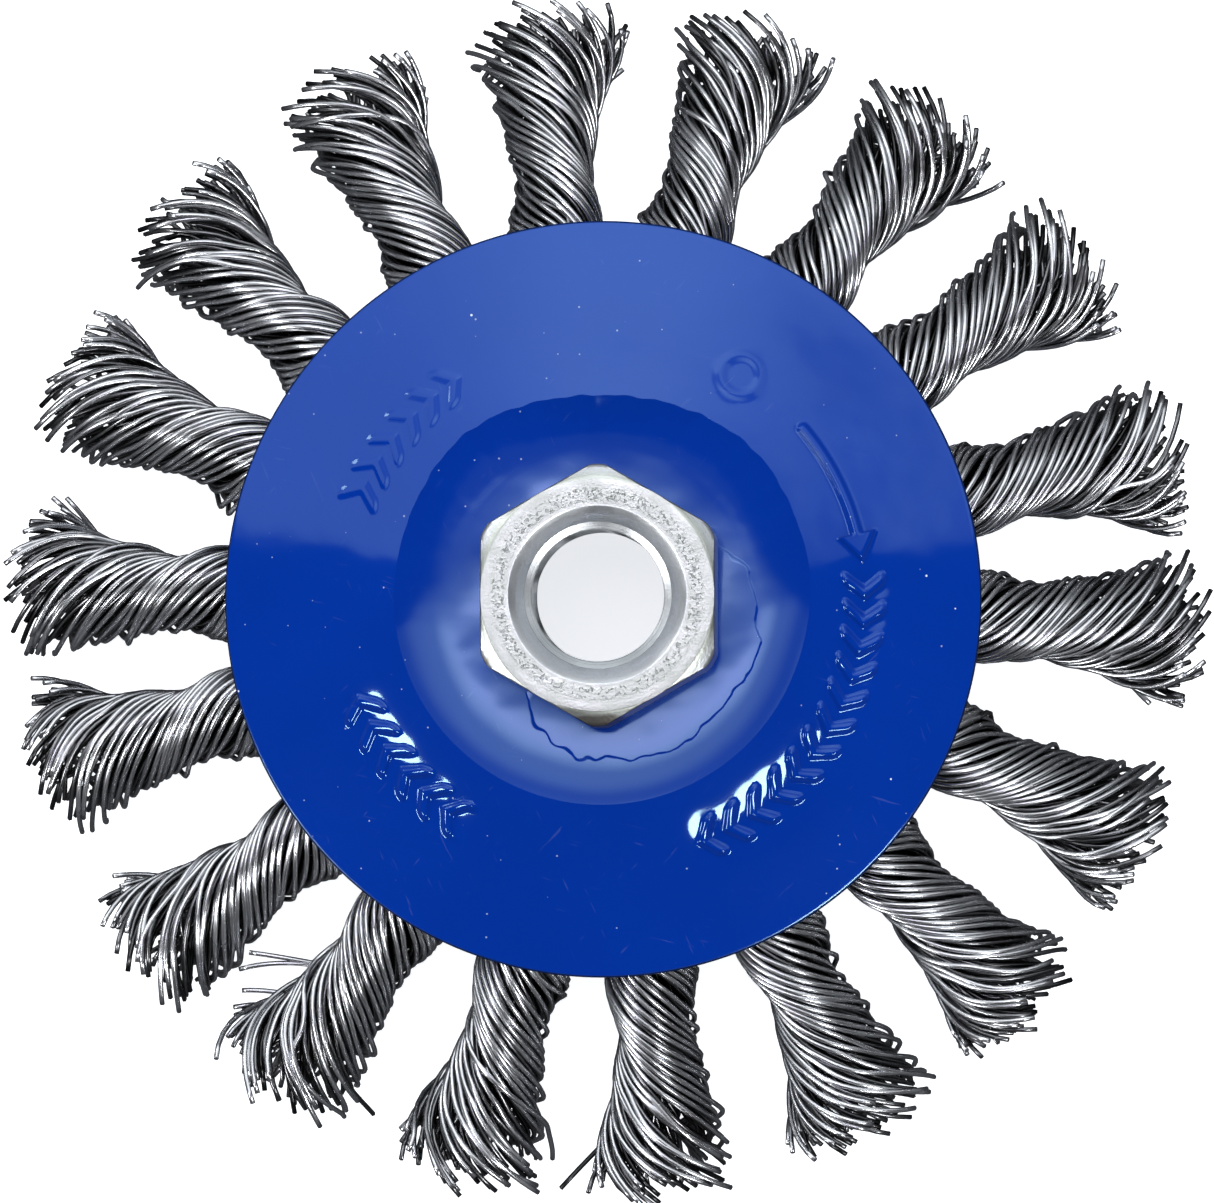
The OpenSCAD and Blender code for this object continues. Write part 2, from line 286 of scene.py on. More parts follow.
def wire_layer(draw, knot, count, depth, stations, stray_share):
    """Paths of one layer of folded wires. Wire n and wire count - 1 - n are the two legs of one wire."""
    phase = (np.arange(count)[:, None] + 0.5) * 2 * math.pi / count
    spacing = 2 * math.pi / count
    end = KNOT_LENGTH - CROWN + np.clip(draw.normal(-0.7, 0.8, (count, 1)), -2.8, 0.4) + 0.5 * depth
    s = LEG_FROM + (end - LEG_FROM) * np.linspace(0, 1, stations)[None, :]
    settle = smooth((s - LEG_FROM) / (2 * LEG_BLEND))
    pull, strand_lift = strands(draw, count)
    shift = (pull[:, None] + wander(draw, s, 0.13, 16)) * spacing * settle
    lift = (strand_lift[:, None] + wander(draw, s, 0.05, 9)) * settle
    stray = draw.random((count, 1)) < stray_share
    shift += stray * wander(draw, s, 0.8, 20) * spacing * settle
    lift += stray * draw.uniform(0.2, 0.42, (count, 1)) * settle
    cusp = np.clip(draw.normal(0.12, 0.16, (count, 1)), 0, 0.5)
    cusp += (draw.random((count, 1)) < stray_share) * draw.uniform(0.3, 0.8, (count, 1))
    turn_at_leg = section_at(LEG_FROM)[2]
    u, v = twisted(draw, s, phase - turn_at_leg, depth, shift, lift, cusp * settle)
    u, v = bent_tips(draw, s, end, u, v)
    fill = 1 - depth / (KNOT_SHORT / 2)
    leg_u = LEG_HALF_W * fill * np.cos(phase)
    leg_v = np.sign(np.sin(phase)) * (LEG_NEAR + (LEG_FAR - LEG_NEAR) * fill * np.abs(np.sin(phase)))
    free = smooth((s - LEG_FROM) / LEG_BLEND)
    u = leg_u + (u - leg_u) * free
    v = leg_v + (v - leg_v) * free
    half = count // 2
    upper = slice(0, half)
    lower = slice(count - 1, half - 1, -1)
    round_bend = np.linspace(0, math.pi, 7)[None, :]
    blend = (1 - np.cos(round_bend)) / 2
    bend_r = leg_v[upper] * (1 - blend) - leg_v[lower] * blend
    bend_s = LEG_BEND - bend_r * np.sin(round_bend)
    bend_u = leg_u[upper] * (1 - blend) + leg_u[lower] * blend
    bend_v = bend_r * np.cos(round_bend)
    path_s = np.concatenate([s[upper, ::-1], bend_s, s[lower]], axis=1)
    path_u = np.concatenate([u[upper, ::-1], bend_u, u[lower]], axis=1)
    path_v = np.concatenate([v[upper, ::-1], bend_v, v[lower]], axis=1)
    return placed(path_s, path_u, path_v, knot)


def inner_wires(draw, knot, count, stations, start):
    """Paths of wires in the middle of a knot, from the station where they start to its tip."""
    phase = draw.uniform(0, 2 * math.pi, (count, 1))
    inner = np.sqrt(draw.uniform(0, 1, (count, 1)))
    depth = 1.4 + 2.9 * (1 - inner)
    end = KNOT_LENGTH - CROWN * inner ** 2 + np.clip(draw.normal(-1.3, 0.8, (count, 1)), -3.0, -0.3)
    s = start + (end - start) * np.linspace(0, 1, stations)[None, :]
    shift = wander(draw, s, 0.25, 12)
    turn_at_start = section_at(start)[2]
    u, v = twisted(draw, s, phase - turn_at_start, depth, shift, wander(draw, s, 0.1, 8))
    u, v = bent_tips(draw, s, end, u, v)
    return placed(s, u, v, knot)


def stray_wires():
    """Paths of the few wires that stand far out of one knot's side, each a curve over three points."""
    t = np.linspace(0, 1, 9)[None, :, None]
    start, middle, end = (STRAYS[:, k, None] for k in range(3))
    return start * (1 - t) ** 2 + middle * 2 * t * (1 - t) + end * t ** 2


def tones_with_shade(draw, wires, points_each, shade):
    """One tone for each wire, times its layer's painted shade, repeated for its points."""
    tone = np.clip(draw.normal(1.0, 0.1, wires), 0.7, 1.3) * shade
    return np.repeat(tone, points_each)


def wire_knot(knot, finish):
    """One knot of folded and twisted wires, with its free tip."""
    draw = np.random.default_rng(FIRST_SEED + knot)
    layers = []
    for count, depth, stations, stray_share, sides, shade in FOLDED:
        layers.append((wire_layer(draw, knot, count, WIRE_R + depth, stations, stray_share), sides, shade))
    for count, stations, start, sides, shade in INNER:
        layers.append((inner_wires(draw, knot, count, stations, start), sides, shade))
    if knot == STRAY_KNOT:
        layers.append((stray_wires(), STRAY_SIDES, STRAY_SHADE))
    points, faces, tones = [], [], []
    total = 0
    for paths, sides, shade in layers:
        layer_points, layer_faces = round_wires(paths, WIRE_R, sides)
        points.append(layer_points)
        faces += [[corner + total for corner in face] for face in layer_faces]
        tones.append(tones_with_shade(draw, len(paths), paths.shape[1] * sides, shade))
        total += len(layer_points)
    node = f"knot_{knot + 1:02d}"
    piece = new_piece(node + "_wires", np.concatenate(points), faces, finish, node)
    tone = piece.data.attributes.new("wire_tone_and_shade", "FLOAT", "POINT")
    tone.data.foreach_set("value", np.concatenate(tones).astype(np.float32))
    ends = [len(face.vertices) != 4 for face in piece.data.polygons]
    piece.data.polygons.foreach_set("use_smooth", [not end for end in ends])
    return piece


# Pressed plates

MARK_HEIGHT = 0.4
MARK_SOFT = 0.55
MARK_WIDTH = 0.85
CHEVRON_LEAN = 0.75
NUT_CLEAR_R = 11.0
DISH = 0.0033
BOWL_R = 13.8
BOWL_POWER = 2.6
BOWL = (CREST_Z - COVER_TOP - DISH * (CREST_R - NUT_CLEAR_R) ** 2) / (CREST_R - BOWL_R) ** BOWL_POWER
CONE_SLOPE = (CREST_Z - CONE_END[1]) / (CONE_END[0] - CREST_R)
HOLLOW = 0.3
MARK_IN_R = 22.9
MARK_OUT_R = 26.7
MARK_MID_R = 24.8
ARROW_FROM = 40.0
ARROW_NECK = 14.0
ARROW_TIP = 7.5
RIGHT_MARKS = np.arange(1.0, -72.0, -6.2)
LEFT_MARKS = np.arange(203.0, 236.0, 6.2)
FAINT_MARKS = np.arange(124.0, 158.0, 6.2)
FAINT = 0.22
SPOT_ANGLE = 58.0
SPOT_R = 1.9


def around(angle, middle):
    """Angle from middle to angle, in radians, the short way round."""
    return (angle - middle + math.pi) % (2 * math.pi) - math.pi


def mark_edge(distance):
    """Height of a mark at that distance from its middle line."""
    return MARK_HEIGHT * smooth((MARK_WIDTH / 2 + MARK_SOFT / 2 - distance) / MARK_SOFT)


def chevron(r, angle, middle):
    """A raised chevron that points the way the brush turns."""
    from_middle = np.abs(r - MARK_MID_R)
    aside = r * around(angle, math.radians(middle)) - CHEVRON_LEAN * from_middle
    beyond = np.maximum(from_middle - (MARK_OUT_R - MARK_IN_R - MARK_WIDTH) / 2, 0)
    return mark_edge(np.hypot(aside / math.hypot(1, CHEVRON_LEAN), beyond))


def turning_arrow(r, angle):
    """A raised arrow that shows the way the brush turns."""
    middle = math.radians((ARROW_FROM + ARROW_NECK) / 2)
    half = math.radians((ARROW_FROM - ARROW_NECK) / 2)
    beyond = np.maximum(np.abs(around(angle, middle)) - half, 0) * r
    shaft = mark_edge(np.hypot(beyond, r - MARK_MID_R))
    to_tip = np.degrees(around(angle, math.radians(ARROW_TIP))) / (ARROW_NECK - ARROW_TIP)
    head_half = 1.9 * np.clip(to_tip, 0, 1) * (to_tip < 1.03)
    inside = np.where(head_half > 0, head_half - np.abs(r - MARK_MID_R), -1)
    return np.maximum(shaft, MARK_HEIGHT * smooth((inside + 0.1) / MARK_SOFT))


def spot_mark(r, angle):
    """A low raised ring between the arrow and the faint chevrons."""
    off_middle = np.hypot(r * around(angle, math.radians(SPOT_ANGLE)), r - MARK_MID_R)
    return FAINT * mark_edge(np.abs(off_middle - SPOT_R))


def cover_marks(r, angle):
    """Raised marks on the cover, an arrow, a ring and three rows of chevrons, of which one is worn faint,
    the plate's hollows between them, and the pressing's slight waves."""
    height = np.maximum(turning_arrow(r, angle), spot_mark(r, angle))
    for middle in FAINT_MARKS:
        height = np.maximum(height, FAINT * chevron(r, angle, middle))
    hollow = np.zeros_like(r)
    for count, middle in enumerate(np.concatenate([RIGHT_MARKS, LEFT_MARKS])):
        height = np.maximum(height, chevron(r, angle, middle))
        aside = r * around(angle, math.radians(middle + 1.4))
        depth = HOLLOW * (1 + 0.3 * math.sin(2.4 * count))
        hollow -= depth * np.exp(-((aside / 1.5) ** 2 + ((r - MARK_MID_R) / 1.9) ** 2))
    waves = 0.012 * np.sin(3 * angle + 0.31 * r) + 0.01 * np.sin(5 * angle - 0.47 * r + 1.3)
    return height + hollow + waves


def cover_height(r):
    """Height of the cover's upper face: a slightly dished flat that steepens to a bowl, a tight crest, a
    cone and a rolled edge."""
    bowl = COVER_TOP + DISH * np.maximum(r - NUT_CLEAR_R, 0) ** 2
    bowl += BOWL * np.maximum(r - BOWL_R, 0) ** BOWL_POWER
    cone = CREST_Z - CONE_SLOPE * (r - CREST_R)
    roll = np.clip((r - COVER_EDGE[0] + EDGE_ROUND) / EDGE_ROUND, 0, 1)
    return np.where(r < CREST_R, bowl, cone) - 0.8 * EDGE_ROUND * roll ** 2


def crest_shift(angle):
    """How far out of round the crest is."""
    ripple = 0.06 * np.sin(31 * angle) + 0.045 * np.sin(53 * angle + 1) + 0.08 * np.sin(7 * angle)
    shift = ripple * smooth(1.6 * np.sin(angle) - 0.2)
    for middle, width, out in ((90, 26, -0.35), (41, 17, 0.6), (133, 17, 0.6), (8, 14, 0.3)):
        shift += out * np.exp(-(around(angle, math.radians(middle)) / math.radians(width)) ** 2)
    return shift


def shifted_crest(rings, line, angles):
    """The cover's rings with its crest out of round, and still on the cone."""
    r = np.array([point[0] for point in line])
    near = smooth(np.interp(r, [BOWL_R + 1, CREST_R, MARK_IN_R - 0.5], [0, 1, 0]))
    near = near * np.array([point[2] for point in line])
    out = near[:, None] * crest_shift(angles)[None, :]
    drop = CONE_SLOPE * crest_shift(angles) / (CREST_Z - COVER_TOP)
    bowl_part = np.clip((rings[..., 2] - COVER_TOP) * drop[None, :], -1, 1)
    rings[..., 2] -= np.where(r[:, None] < CREST_R, bowl_part * (near[:, None] > 0), CONE_SLOPE * out)
    wider = 1 + out / r[:, None]
    rings[..., 0] *= wider
    rings[..., 1] *= wider
    return rings


def cover_outline():
    """The cover's closed (r, z) outline. The third value says how much of the marks it carries."""
    radii = np.concatenate([
        np.linspace(HOLE_IN_PLATES, NUT_CLEAR_R, 2, endpoint=False),
        np.linspace(NUT_CLEAR_R, BOWL_R, 7, endpoint=False),
        np.linspace(BOWL_R, CREST_R, 15, endpoint=False),
        np.linspace(CREST_R, MARK_IN_R - 0.5, 7, endpoint=False),
        np.linspace(MARK_IN_R - 0.5, MARK_OUT_R + 0.5, 33, endpoint=False),
        np.linspace(MARK_OUT_R + 0.5, CONE_END[0], 12, endpoint=False),
        np.linspace(CONE_END[0], COVER_EDGE[0] - EDGE_ROUND, 3, endpoint=False),
        np.linspace(COVER_EDGE[0] - EDGE_ROUND, COVER_EDGE[0] - 0.03, 4),
    ])
    line = [(r, z, 1.0) for r, z in zip(radii, cover_height(radii))]
    edge_r, edge_z = COVER_EDGE
    line += [(edge_r, edge_z - 0.14, 0.0)]
    line += [(edge_r - 0.3, edge_z - PLATE_T + 0.1, 0.0), (edge_r - 0.4, edge_z - PLATE_T, 0.0)]
    below = np.concatenate([
        np.linspace(COVER_EDGE[0] - 1.2, CREST_R, 8),
        np.linspace(CREST_R - 0.6, RECESS_R, 6),
        np.linspace(RECESS_R - 1.5, HOLE_IN_PLATES, 4),
    ])
    line += [(r, z - PLATE_T * 1.03, 0.0) for r, z in zip(below, cover_height(below))]
    return line


def cover_angles():
    """Angles of the cover's grid, close together where there are marks."""
    spans = [(-75, 43, 0.36), (43, 52, 1.5), (52, 64, 0.5), (64, 120, 1.4), (120, 160, 0.45),
             (160, 199, 1.5), (199, 238, 0.36), (238, 285, 1.4)]
    parts = [np.linspace(a, b, round((b - a) / step), endpoint=False) for a, b, step in spans]
    return np.radians(np.concatenate(parts))


def pressed_cover(finish):
    """The painted cover plate."""
    line = cover_outline()
    angles = cover_angles()
    rings = shifted_crest(turned_rings(line, angles, cover_marks), line, angles)
    points, faces = ring_skin(rings)
    piece = new_piece("pressed_cover", points, faces, finish, "cover_plate")
    piece.data.set_sharp_from_angle(angle=math.radians(50))
    on_crest = np.repeat([abs(point[0] - CREST_R) < 0.001 for point in line], len(angles))
    for edge in piece.data.edges:
        if on_crest[edge.vertices[0]] and on_crest[edge.vertices[1]]:
            edge.use_edge_sharp = True
    return piece


def back_height(r):
    """Height of the back plate's upper face: a flat, a steep wall and a cone, with soft bends."""
    line = [(HOLE_IN_PLATES, BACK_TOP)] + BACK_LINE
    offsets = np.linspace(-0.8, 0.8, 9)
    near = [np.interp(r + offset, [p[0] for p in line], [p[1] for p in line]) for offset in offsets]
    return np.mean(near, axis=0)


def pressed_back(finish):
    """The painted back plate, under the knots."""
    angles = np.linspace(0, 2 * math.pi, 240, endpoint=False)
    edge = BACK_LINE[-1][0]
    radii = np.concatenate([
        np.linspace(HOLE_IN_PLATES, BACK_LINE[0][0] - 1, 5, endpoint=False),
        np.linspace(BACK_LINE[0][0] - 1, BACK_LINE[1][0] + 1, 20, endpoint=False),
        np.linspace(BACK_LINE[1][0] + 1, edge - 0.9, 14, endpoint=False),
        np.linspace(edge - 0.9, edge - 0.15, 3),
    ])
    slope = np.gradient(back_height(radii), radii)
    thick = PLATE_T * np.sqrt(1 + slope ** 2)
    upper = [(r, z, 0.0) for r, z in zip(radii, back_height(radii))]
    edge_z = float(back_height(np.array([edge - 0.1]))[0])
    rim = [(edge, edge_z - 0.1, 0.0), (edge - 0.28, edge_z - PLATE_T + 0.1, 0.0)]
    lower = [(r, z, 0.0) for r, z in zip(radii - 0.35 * slope ** 2, back_height(radii) - thick)]
    lower = [(max(r, HOLE_IN_PLATES), z, f) for r, z, f in lower]
    points, faces = ring_skin(turned_rings(upper + rim + lower[::-1], angles))
    piece = new_piece("pressed_back", points, faces, finish, "back_plate")
    piece.data.set_sharp_from_angle(angle=math.radians(50))
    return piece


# Nut

def hexagon(angles, reach):
    """Distance to the nut's wall, with corners at the +Y and -Y ends, blunted at reach."""
    sector = math.pi / 3
    off_flat = (angles + sector / 2) % sector - sector / 2
    wall = NUT_HALF_FLATS / np.cos(off_flat)
    return -np.logaddexp(-wall / 0.06, -reach / 0.06) * 0.06


def thread_wall(z, angles):
    """Radius of the threaded bore at height z, chamfered at its foot."""
    turn = (z / THREAD_PITCH - angles / (2 * math.pi)) % 1
    tooth = np.clip(np.abs(turn - 0.5) * 2.6 - 0.25, 0, 1)
    thread = THREAD_R - (THREAD_R - THREAD_CORE_R) * (1 - tooth)
    foot = THREAD_R + 0.2 - (z - SPIGOT_BOTTOM)
    return np.maximum(thread, foot)


def nut_rings():
    """Rings of the turned nut, from the bottom of its bore, up and over its face, down its flats, and
    round its spigot and staked lip."""
    steps = 360
    angles = np.arange(steps) * 2 * math.pi / steps
    flat_r = hexagon(angles, NUT_CORNER_R)
    rings = []

    def ring(r, z):
        r = np.broadcast_to(r, angles.shape)
        z = np.broadcast_to(z, angles.shape)
        rings.append(np.stack([r * np.cos(angles), r * np.sin(angles), z], axis=-1))

    def top_line(r):
        return NUT_TOP - np.maximum(r - FACE_R, 0) * math.tan(CHAMFER)

    for z in np.arange(SPIGOT_BOTTOM, NUT_TOP - 2.4, 0.25):
        ring(thread_wall(z, angles), z)
    for r, depth in FIRST_TURN:
        ring(r, NUT_TOP - depth)
    ring(MOUTH_R + 0.07, NUT_TOP)
    for r in np.linspace(MOUTH_R + 0.5, FACE_R - 0.12, 6):
        ring(r, NUT_TOP)
    ring(FACE_R, NUT_TOP - 0.012)
    for part in (0.25, 0.5, 0.75, 1.0):
        r = FACE_R + (flat_r - 0.12 - FACE_R) * part
        ring(r, top_line(r))
    ring(flat_r - 0.03, top_line(flat_r) - 0.05)
    ring(flat_r, top_line(flat_r) - 0.16)
    for z in np.linspace(NUT_TOP - 2.2, NUT_SEAT + 0.25, 6):
        ring(flat_r, z)
    ring(flat_r - 0.12, NUT_SEAT + 0.06)
    ring(flat_r - 0.3, NUT_SEAT)
    ring(SPIGOT_R + 0.4, NUT_SEAT)
    ring(SPIGOT_R, NUT_SEAT)
    for z in np.linspace(NUT_SEAT - 1, BACK_BOTTOM, 4):
        ring(SPIGOT_R, z)
    ring(STAKE_R - 0.15, BACK_BOTTOM)
    ring(STAKE_R, BACK_BOTTOM - 0.2)
    ring(STAKE_R - 0.35, BACK_BOTTOM - 0.8)
    ring(STAKE_R - 0.9, SPIGOT_BOTTOM)
    ring(THREAD_R + 0.8, SPIGOT_BOTTOM)
    return np.array(rings)


def turned_nut(finish):
    """The zinc plated hex nut, with its thread and the spigot that holds the plates."""
    points, faces = ring_skin(nut_rings())
    piece = new_piece("turned_nut", points, faces, finish, "hex_nut")
    piece.data.set_sharp_from_angle(angle=math.radians(24))
    return piece


# Finishes

def fill(tree, node, values):
    """Sets a node's inputs: a socket is linked, and anything else is its value."""
    for key, value in values.items():
        if isinstance(value, bpy.types.NodeSocket):
            tree.links.new(value, node.inputs[key])
        else:
            node.inputs[key].default_value = value
    return node


def add(tree, kind, values=None, **settings):
    """A new node of that kind, with its settings and inputs."""
    node = tree.nodes.new("ShaderNode" + kind)
    for key, value in settings.items():
        setattr(node, key, value)
    return fill(tree, node, values or {})


def maths(tree, operation, a, b=0.0, c=0.0, clamp=False):
    """One sum, as a socket."""
    node = add(tree, "Math", {0: a, 1: b, 2: c}, operation=operation, use_clamp=clamp)
    return node.outputs[0]


def between(tree, value, low, high, to_low=0.0, to_high=1.0):
    """Value moved softly from the span low to high to the other span."""
    node = add(tree, "MapRange", {"Value": value, "From Min": low, "From Max": high,
                                  "To Min": to_low, "To Max": to_high}, interpolation_type="SMOOTHSTEP")
    return node.outputs["Result"]


def mixed(tree, amount, a, b):
    """Colour a, turning to b by amount."""
    node = add(tree, "Mix", data_type="RGBA")
    fill(tree, node, {0: amount})
    for key, value in ((6, a), (7, b)):
        fill(tree, node, {key: value})
    return node.outputs[2]


def stretched(tree, place, scale, turn=0.0):
    """Place turned about Z, then stretched by scale."""
    values = {"Vector": place, "Rotation": (0, 0, turn), "Scale": scale}
    return add(tree, "Mapping", values, vector_type="TEXTURE").outputs["Vector"]


def noise(tree, place, scale, detail, distortion=0.0):
    """Noise round 0.5, with about that many waves in a metre."""
    values = {"Vector": place, "Scale": scale, "Detail": detail, "Distortion": distortion}
    return add(tree, "TexNoise", values).outputs["Fac"]


def off_axis(tree, place):
    """Place brought down to the base, and how far it is from the brush's axis."""
    flat = add(tree, "VectorMath", {0: place, 1: (1, 1, 0)}, operation="MULTIPLY").outputs["Vector"]
    return flat, add(tree, "VectorMath", {0: flat}, operation="LENGTH").outputs["Value"]


def new_group(name, inputs, outputs):
    """An empty shared group with named inputs (name, kind, value) and outputs (name, kind)."""
    group = bpy.data.node_groups.new(name, "ShaderNodeTree")
    for label, kind, value in inputs:
        socket = group.interface.new_socket(label, in_out="INPUT", socket_type=kind)
        if value is not None:
            socket.default_value = value
    for label, kind in outputs:
        group.interface.new_socket(label, in_out="OUTPUT", socket_type=kind)
    return group, group.nodes.new("NodeGroupInput").outputs, group.nodes.new("NodeGroupOutput")


def hairline_group():
    """Fine scratches that run in three ways, as a mask."""
    group, given, result = new_group(
        "hairline_scratches",
        [("Place", "NodeSocketVector", None), ("Spacing", "NodeSocketFloat", 1.0),
         ("Amount", "NodeSocketFloat", 0.5)],
        [("Mask", "NodeSocketFloat")])
    mask = 0.0
    for turn, length in ((0.4, 11.0), (1.3, 14.0), (2.4, 9.0)):
        lines = stretched(group, given["Place"], (1.0, length, 5.0), turn)
        scale = maths(group, "DIVIDE", 900.0, given["Spacing"])
        line = between(group, noise(group, lines, scale, 2.0, 0.3), 0.70, 0.77)
        mask = maths(group, "MAXIMUM", mask, line)
    where = between(group, noise(group, given["Place"], 70.0, 1.0), 0.42, 0.62)
    mask = maths(group, "MULTIPLY", maths(group, "MULTIPLY", mask, where), given["Amount"], clamp=True)
    group.links.new(mask, result.inputs["Mask"])
    return group


def dust_group():
    """Small light specks of dust, as a mask."""
    group, given, result = new_group(
        "dust_specks",
        [("Place", "NodeSocketVector", None), ("Spacing", "NodeSocketFloat", 2.0),
         ("Size", "NodeSocketFloat", 0.06), ("Share", "NodeSocketFloat", 0.3)],
        [("Mask", "NodeSocketFloat")])
    cells = add(group, "TexVoronoi", {"Vector": given["Place"],
                                      "Scale": maths(group, "DIVIDE", 1000.0, given["Spacing"])})
    chance = add(group, "SeparateColor", {"Color": cells.outputs["Color"]})
    size = maths(group, "MULTIPLY", given["Size"], chance.outputs["Green"])
    near = between(group, maths(group, "SUBTRACT", size, cells.outputs["Distance"]), 0.0, 0.015)
    chosen = maths(group, "LESS_THAN", chance.outputs["Red"], given["Share"])
    group.links.new(maths(group, "MULTIPLY", near, chosen), result.inputs["Mask"])
    return group


def unevenness_group():
    """Large and small unevenness round 0.5, for tone, roughness and fine relief."""
    group, given, result = new_group(
        "unevenness",
        [("Place", "NodeSocketVector", None), ("Size", "NodeSocketFloat", 1.0)],
        [("Broad", "NodeSocketFloat"), ("Fine", "NodeSocketFloat")])
    scale = maths(group, "DIVIDE", 1000.0, given["Size"])
    broad = noise(group, given["Place"], scale, 3.0)
    fine = noise(group, given["Place"], maths(group, "MULTIPLY", scale, 9.0), 2.0)
    group.links.new(broad, result.inputs["Broad"])
    group.links.new(fine, result.inputs["Fine"])
    return group


HAIRLINES = hairline_group()
DUST = dust_group()
UNEVEN = unevenness_group()


def shared(tree, group, values):
    """A shared group placed in a material."""
    node = tree.nodes.new("ShaderNodeGroup")
    node.node_tree = group
    return fill(tree, node, values).outputs


def new_finish(name):
    """An empty material, its node tree, its shader and the place on the piece."""
    finish = bpy.data.materials.new(name)
    finish.use_nodes = True
    tree = finish.node_tree
    place = add(tree, "TexCoord").outputs["Object"]
    return finish, tree, tree.nodes["Principled BSDF"], place


def relief(tree, height, depth, normal=None):
    """A bump of that depth in millimetres."""
    values = {"Height": height, "Distance": depth * MM, "Strength": 1.0}
    if normal is not None:
        values["Normal"] = normal
    return add(tree, "Bump", values).outputs["Normal"]


# Line left by the press on the cover's flat: its middle in degrees, its half length in radians, and sizes
PRESS_MIDDLE = -50
PRESS_HALF = 1.33
PRESS_R = 14.2
PRESS_DRAW_IN = 3.8
PRESS_WAVE = 2.8
PRESS_THIN = 0.13
PRESS_THICK = 0.27


def press_line(tree, place, radius):
    """Height of the low step that the nut's press left in the plate, a wavy line round the lower right.
    Towards its ends the line draws in under the nut."""
    turned = stretched(tree, place, (1, 1, 1), math.radians(PRESS_MIDDLE))
    parts = add(tree, "SeparateXYZ", {"Vector": turned}).outputs
    off_middle = maths(tree, "ABSOLUTE", maths(tree, "ARCTAN2", parts["Y"], parts["X"]))
    ends = maths(tree, "POWER", maths(tree, "DIVIDE", off_middle, PRESS_HALF), 4.0)
    line_r = maths(tree, "MULTIPLY_ADD", ends, -PRESS_DRAW_IN * MM, PRESS_R * MM)
    line_r = maths(tree, "MULTIPLY_ADD", noise(tree, place, 300.0, 1.5), PRESS_WAVE * MM, line_r)
    width = between(tree, noise(tree, place, 190.0, 2.0), 0.5, 0.66, PRESS_THIN * MM, PRESS_THICK * MM)
    from_line = maths(tree, "DIVIDE", maths(tree, "SUBTRACT", radius, line_r), width)
    step = between(tree, from_line, -1.0, 1.0, 1.0, 0.0)
    return maths(tree, "MULTIPLY", step, between(tree, off_middle, PRESS_HALF + 0.12, PRESS_HALF - 0.03))


SAG_SCALE = 90.0
PEEL_SCALE = 420.0


def blue_paint():
    """Glossy dark blue paint, sprayed and stoved, with dust and hairlines from handling. On the rim it is
    rougher and less glossy, and its colour is darkened there as a painted shade along the edge.
    """
    finish, tree, shader, place = new_finish("blue_paint")
    radius = off_axis(tree, place)[1]
    rim = between(tree, radius, (COVER_EDGE[0] - 0.23) * MM, (COVER_EDGE[0] - 0.13) * MM)
    uneven = shared(tree, UNEVEN, {"Place": place, "Size": 14.0})
    specks = shared(tree, DUST, {"Place": place, "Spacing": 2.7, "Size": 0.06, "Share": 0.45})["Mask"]
    fine_dust = shared(tree, DUST, {"Place": place, "Spacing": 1.1, "Size": 0.1, "Share": 0.4})["Mask"]
    dust = maths(tree, "MAXIMUM", specks, maths(tree, "MULTIPLY", fine_dust, 0.4))
    hairs = shared(tree, HAIRLINES, {"Place": place, "Spacing": 0.36, "Amount": 0.25})["Mask"]
    paint = mixed(tree, uneven["Broad"], (0.0002, 0.0225, 0.235, 1), (0.0004, 0.0285, 0.285, 1))
    marked = maths(tree, "MAXIMUM", maths(tree, "MULTIPLY", dust, 0.9), maths(tree, "MULTIPLY", hairs, 0.12))
    colour = mixed(tree, marked, paint, (0.62, 0.68, 0.78, 1))
    # The rim's colour is darkened almost to black, a painted shade along the cover's edge.
    colour = mixed(tree, maths(tree, "MULTIPLY", rim, 0.8), colour, (0.001, 0.006, 0.02, 1))
    normal = relief(tree, noise(tree, place, SAG_SCALE, 2.0), 0.08)
    normal = relief(tree, noise(tree, place, PEEL_SCALE, 1.0), 0.0035, normal)
    normal = relief(tree, maths(tree, "MULTIPLY", hairs, -1.0), 0.002, normal)
    normal = relief(tree, press_line(tree, place, radius), 0.04, normal)
    fill(tree, shader, {
        "Base Color": colour,
        "Roughness": maths(tree, "MULTIPLY_ADD", maths(tree, "MAXIMUM", dust, rim), 0.5, 0.07),
        "Specular IOR Level": maths(tree, "MULTIPLY_ADD", rim, -0.45, 0.5),
        "IOR": 1.5,
        "Specular Tint": (0.56, 0.90, 1.0, 1),
        "Normal": normal,
    })
    return finish


def face_grain(tree, flat, radius, dust):
    """The band of the nut's face that has a rough grain, and the grain's pits and streaks, as masks."""
    inner = between(tree, radius, (MOUTH_R + 0.3) * MM, (MOUTH_R + 0.7) * MM)
    band = maths(tree, "MULTIPLY", inner, between(tree, radius, (FACE_R - 0.75) * MM, (FACE_R - 1.45) * MM))
    streaks = between(tree, noise(tree, flat, 2300.0, 2.0, 0.8), 0.575, 0.64)
    return band, maths(tree, "MAXIMUM", maths(tree, "MULTIPLY", dust, 0.8), streaks)


def zinc_stains(tree, uneven, radius, parts, colour):
    """Colour with dull stains on the corners, and a dark one on the corner at the -Y end."""
    corners = between(tree, radius, (NUT_HALF_FLATS + 0.2) * MM, (NUT_CORNER_R + 0.1) * MM)
    stained = maths(tree, "MULTIPLY", between(tree, uneven["Broad"], 0.55, 0.7), corners)
    colour = mixed(tree, stained, colour, (0.20, 0.17, 0.12, 1))
    ragged = maths(tree, "MULTIPLY_ADD", uneven["Broad"], -1.2 * MM, parts["Y"])
    low_corner = between(tree, ragged, -(NUT_CORNER_R - 0.6) * MM, -(NUT_CORNER_R - 0.1) * MM)
    return mixed(tree, maths(tree, "MULTIPLY", low_corner, 0.8), colour, (0.10, 0.085, 0.065, 1))


